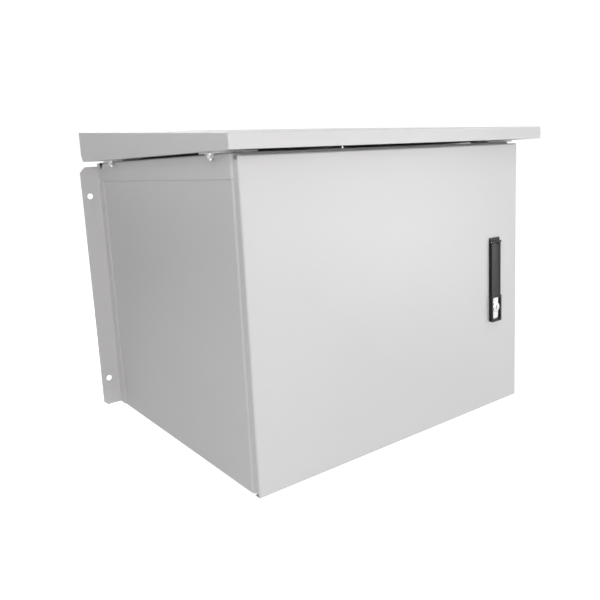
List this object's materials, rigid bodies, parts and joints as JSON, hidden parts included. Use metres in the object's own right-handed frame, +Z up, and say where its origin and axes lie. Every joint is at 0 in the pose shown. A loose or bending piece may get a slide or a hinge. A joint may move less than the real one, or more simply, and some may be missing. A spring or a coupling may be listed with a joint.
{
  "type": "battery box",
  "caption": "Wall-hung sheet-steel battery box with a hinged door, flush lever lock, sloping rain hood, wall flanges, equipment rails, battery tray and cable glands",
  "frame": {"origin": "centre of the pattern of four wall holes, on the wall plane", "axes": "+X to the right seen from in front of the door, +Z up, -Y out of the front; the wall is at y = 0"},
  "size_m": [0.67, 0.56, 0.5678],
  "materials": {
    "cabinet_paint": "light grey textured powder coat",
    "zinc_plate": "bright zinc plate",
    "filter_felt": "white non-woven filter mat",
    "gasket_foam": "black foamed polyurethane",
    "gland_nylon": "black nylon",
    "seal_rubber": "black rubber",
    "earth_brass": "bare brass",
    "bush_nylon": "natural white acetal",
    "lock_black": "black semi-gloss powder coat on die-cast zinc",
    "lock_steel": "blackened steel",
    "lock_chrome": "bright chrome plate"
  },
  "bodies": {
    "cabinet": {"rear_panel": "cabinet_paint", "side_panel_left": "cabinet_paint", "side_panel_right": "cabinet_paint", "top_panel": "cabinet_paint", "bottom_panel": "cabinet_paint", "wall_bracket_left": "cabinet_paint", "wall_bracket_right": "cabinet_paint", "roof_hood": "cabinet_paint", "roof_bracket_front_left": "cabinet_paint", "roof_bracket_front_right": "cabinet_paint", "roof_bracket_rear_left": "cabinet_paint", "roof_bracket_rear_right": "cabinet_paint", "roof_bolts": "zinc_plate", "roof_nuts": "zinc_plate", "bracket_screws": "zinc_plate", "vent_filter": "filter_felt", "vent_frame": "cabinet_paint", "hinge_bracket_top": "zinc_plate", "hinge_bracket_bottom": "zinc_plate", "hinge_pins": "zinc_plate", "hinge_screws": "zinc_plate", "depth_rail_lower_left": "zinc_plate", "depth_rail_lower_right": "zinc_plate", "depth_rail_upper_left": "zinc_plate", "depth_rail_upper_right": "zinc_plate", "rack_rail_front_left": "zinc_plate", "rack_rail_front_right": "zinc_plate", "rack_rail_rear_left": "zinc_plate", "rack_rail_rear_right": "zinc_plate", "rail_bolts": "zinc_plate", "battery_shelf": "cabinet_paint", "shelf_screws": "zinc_plate", "gland_plate": "cabinet_paint", "gland_plate_gasket": "gasket_foam", "gland_plate_screws": "zinc_plate", "gland_body_left": "gland_nylon", "gland_body_right": "gland_nylon", "gland_cap_left": "gland_nylon", "gland_cap_right": "gland_nylon", "gland_seals": "seal_rubber", "gland_locknuts": "gland_nylon", "earth_bar": "earth_brass", "earth_fixings": "zinc_plate"},
    "door": {"door_panel": "cabinet_paint", "door_stiffener_left": "cabinet_paint", "door_stiffener_right": "cabinet_paint", "door_gasket": "gasket_foam", "hinge_bushes": "bush_nylon", "lock_housing": "lock_black", "lock_clamp": "zinc_plate", "lock_screws": "zinc_plate", "lock_cover": "lock_chrome", "button_spring": "zinc_plate"},
    "latch": {"lock_spindle": "lock_steel", "lock_cam": "zinc_plate", "cam_bolt": "zinc_plate"},
    "lever": {"lock_lever": "lock_black", "lever_pin": "zinc_plate"},
    "button": {"push_button": "lock_chrome"},
    "key": {"key_core": "lock_chrome"}
  },
  "joints": [
    {"name": "door_hinge", "type": "hinge", "parent": "cabinet", "child": "door", "pos_m": [-0.294, -0.524, 0], "axis": [0, 0, -1], "range_deg": [0, 120]},
    {"name": "handle_swivel", "type": "hinge", "parent": "door", "child": "latch", "pos_m": [0.232, -0.532, 0.061], "axis": [0, 1, 0], "range_deg": [0, 90]},
    {"name": "lever_flip", "type": "hinge", "parent": "latch", "child": "lever", "pos_m": [0.232, -0.53465, 0.07], "axis": [-1, 0, 0], "range_deg": [0, 40]},
    {"name": "button_press", "type": "slide", "parent": "door", "child": "button", "axis": [0, 1, 0], "range_m": [0, 0.003], "stiffness_N_per_m": 800, "deforming": ["button_spring"]},
    {"name": "key_turn", "type": "hinge", "parent": "button", "child": "key", "pos_m": [0.232, -0.535, -0.0515], "axis": [0, 1, 0], "range_deg": [0, 90]}
  ]
}
